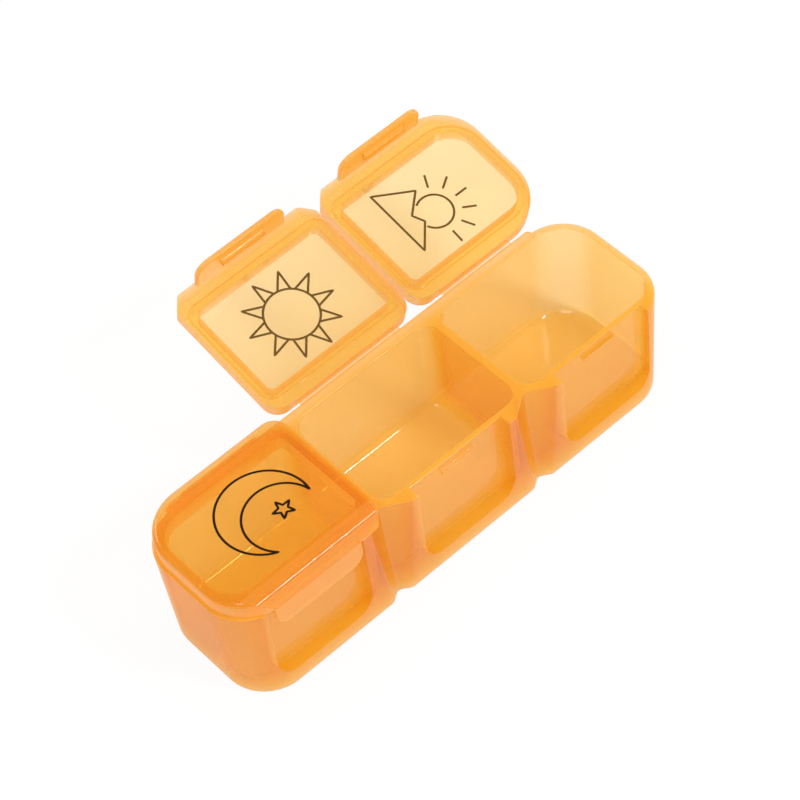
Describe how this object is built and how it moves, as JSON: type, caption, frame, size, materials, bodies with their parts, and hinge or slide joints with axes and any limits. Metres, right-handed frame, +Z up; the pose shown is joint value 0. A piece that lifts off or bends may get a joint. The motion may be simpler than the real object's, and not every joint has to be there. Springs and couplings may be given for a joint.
{
  "type": "pill organizer",
  "caption": "Long translucent pill box with round ends, divided into cups, each with its own snap lid on a living hinge and a front flap to lift it by.",
  "frame": {"origin": "centre of the tray's flat base, on the surface that it stands on", "axes": "+X along the tray from the night cup to the morning cup, -Y towards the lifting flaps, +Y towards the hinges, +Z up"},
  "size_m": [0.1042, 0.0603, 0.0372],
  "materials": {
    "amber_plastic": "translucent amber polypropylene, smooth and slightly glossy",
    "thin_film": "the same polypropylene, coined thin, so it looks paler"
  },
  "bodies": {
    "tray": {"tray": "amber_plastic", "night_hinge": "thin_film", "noon_hinge": "thin_film", "morning_hinge": "thin_film"},
    "night_lid": {"night_lid": "amber_plastic"},
    "noon_lid": {"noon_lid": "amber_plastic"},
    "morning_lid": {"morning_lid": "amber_plastic"}
  },
  "joints": [
    {"name": "night_lid_turn", "type": "hinge", "parent": "tray", "child": "night_lid", "pos_m": [-0.03477, 0.01597, 0.02436], "axis": [-1, 0, 0], "range_deg": [0, 180], "deforming": ["night_hinge"]},
    {"name": "noon_lid_turn", "type": "hinge", "parent": "tray", "child": "noon_lid", "pos_m": [0, 0.01597, 0.02436], "axis": [-1, 0, 0], "range_deg": [-166, 14], "deforming": ["noon_hinge"]},
    {"name": "morning_lid_turn", "type": "hinge", "parent": "tray", "child": "morning_lid", "pos_m": [0.03477, 0.01597, 0.02436], "axis": [-1, 0, 0], "range_deg": [-166, 14], "deforming": ["morning_hinge"]}
  ]
}
